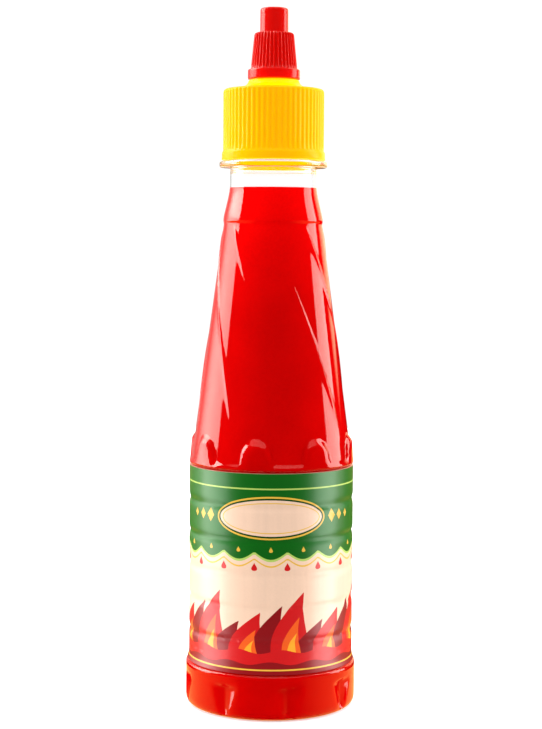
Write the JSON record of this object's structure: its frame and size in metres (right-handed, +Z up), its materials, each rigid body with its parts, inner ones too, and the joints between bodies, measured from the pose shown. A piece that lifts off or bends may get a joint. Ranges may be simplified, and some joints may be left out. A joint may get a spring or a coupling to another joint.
{
  "type": "hot sauce bottle",
  "caption": "Clear squeeze bottle of red hot sauce with a swirled neck cone, a scalloped shoulder, a wrap-around label, a ribbed screw cap and a small ribbed tip cap.",
  "frame": {"origin": "centre of the standing ring, on the surface that the bottle stands on", "axes": "+Z up along the bottle's axis; -Y is the front of the label; +X is to the right as the front is seen"},
  "size_m": [0.0532, 0.0532, 0.2165],
  "materials": {
    "clear_plastic": "clear glossy bottle plastic",
    "sauce": "thick smooth red sauce, wet gloss; stands in for food",
    "label_film": "glossy printed plastic film, plain green, cream and red design without text",
    "cap_yellow": "satin yellow moulded plastic",
    "tip_red": "satin red moulded plastic"
  },
  "bodies": {
    "root": {"bottle": "clear_plastic", "sauce": "sauce", "label": "label_film", "screw_cap": "cap_yellow", "tip_cap": "tip_red"}
  },
  "joints": []
}
